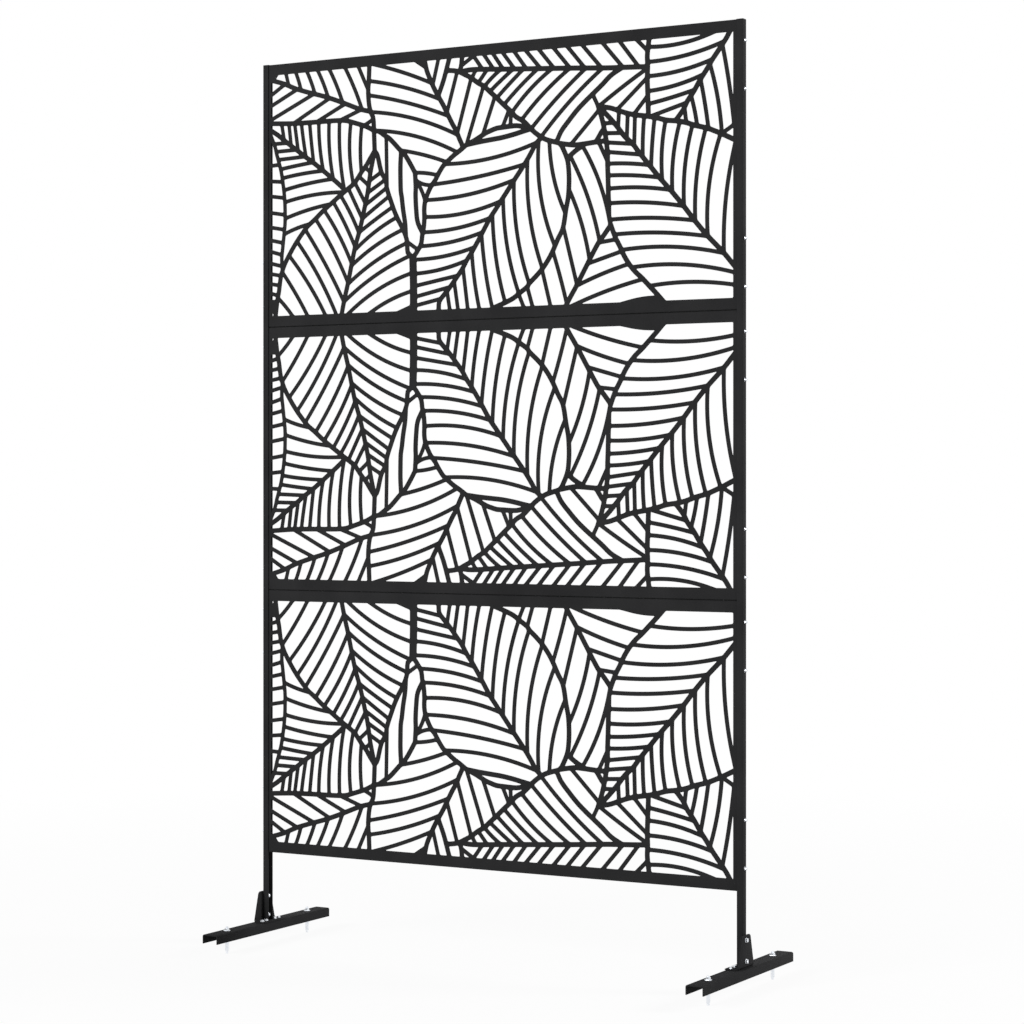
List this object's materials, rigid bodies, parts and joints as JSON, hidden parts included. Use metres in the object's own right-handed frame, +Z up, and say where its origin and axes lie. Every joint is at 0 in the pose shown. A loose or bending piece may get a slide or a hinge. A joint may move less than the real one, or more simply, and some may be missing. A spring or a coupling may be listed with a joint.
{
  "type": "leaf pattern privacy screen",
  "caption": "Free-standing metal privacy screen: stacked laser-cut leaf pattern panels between square posts on floor channels.",
  "frame": {"origin": "centre of the screen's width and of the posts' depth, at the tips of the floor anchors", "axes": "+X to the viewer's right along the panels, +Y away from the viewer through the panels, +Z up"},
  "size_m": [1.227, 0.446, 2.0077],
  "materials": {
    "coated_steel": "satin black powder coat",
    "zinc_steel": "bright zinc plated"
  },
  "bodies": {
    "root": {"lower_panel": "coated_steel", "middle_panel": "coated_steel", "upper_panel": "coated_steel", "left_post": "coated_steel", "left_post_cap": "coated_steel", "left_foot": "coated_steel", "left_bracket": "coated_steel", "right_post": "coated_steel", "right_post_cap": "coated_steel", "right_foot": "coated_steel", "right_bracket": "coated_steel", "left_bracket_bolts": "zinc_steel", "left_bracket_nuts": "zinc_steel", "left_base_bolts": "zinc_steel", "left_front_anchor_stud": "zinc_steel", "left_front_anchor_washer": "zinc_steel", "left_front_anchor_nut": "zinc_steel", "left_front_anchor_sleeve": "zinc_steel", "left_rear_anchor_stud": "zinc_steel", "left_rear_anchor_washer": "zinc_steel", "left_rear_anchor_nut": "zinc_steel", "left_rear_anchor_sleeve": "zinc_steel", "right_bracket_bolts": "zinc_steel", "right_bracket_nuts": "zinc_steel", "right_base_bolts": "zinc_steel", "right_front_anchor_stud": "zinc_steel", "right_front_anchor_washer": "zinc_steel", "right_front_anchor_nut": "zinc_steel", "right_front_anchor_sleeve": "zinc_steel", "right_rear_anchor_stud": "zinc_steel", "right_rear_anchor_washer": "zinc_steel", "right_rear_anchor_nut": "zinc_steel", "right_rear_anchor_sleeve": "zinc_steel"}
  },
  "joints": []
}
